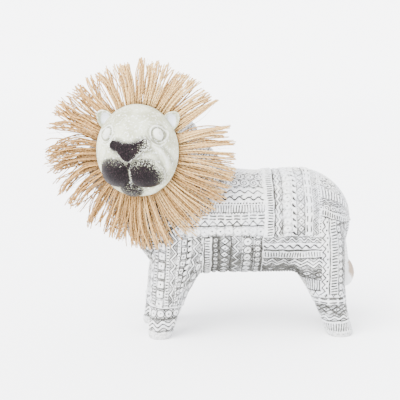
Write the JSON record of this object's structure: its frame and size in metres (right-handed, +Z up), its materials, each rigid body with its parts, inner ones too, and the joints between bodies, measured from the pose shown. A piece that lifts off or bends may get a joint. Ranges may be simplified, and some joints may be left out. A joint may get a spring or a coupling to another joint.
{
  "type": "lion figurine",
  "caption": "Standing carved resin lion figurine, whitewashed all over, with a smooth turned face and a ring of jute fringe for a mane.",
  "frame": {"origin": "on the ground under the middle of the whole figure", "axes": "+Z up, +X towards the tail, the lion walks towards -X and turns its face towards -Y"},
  "size_m": [0.2686, 0.1244, 0.2398],
  "materials": {
    "carved_resin": "matt whitewashed cast resin with grey in the carving, face satin with speckled dark muzzle",
    "jute": "rough natural two-ply jute twine ends"
  },
  "bodies": {
    "root": {"lion": "carved_resin", "mane": "jute"}
  },
  "joints": []
}
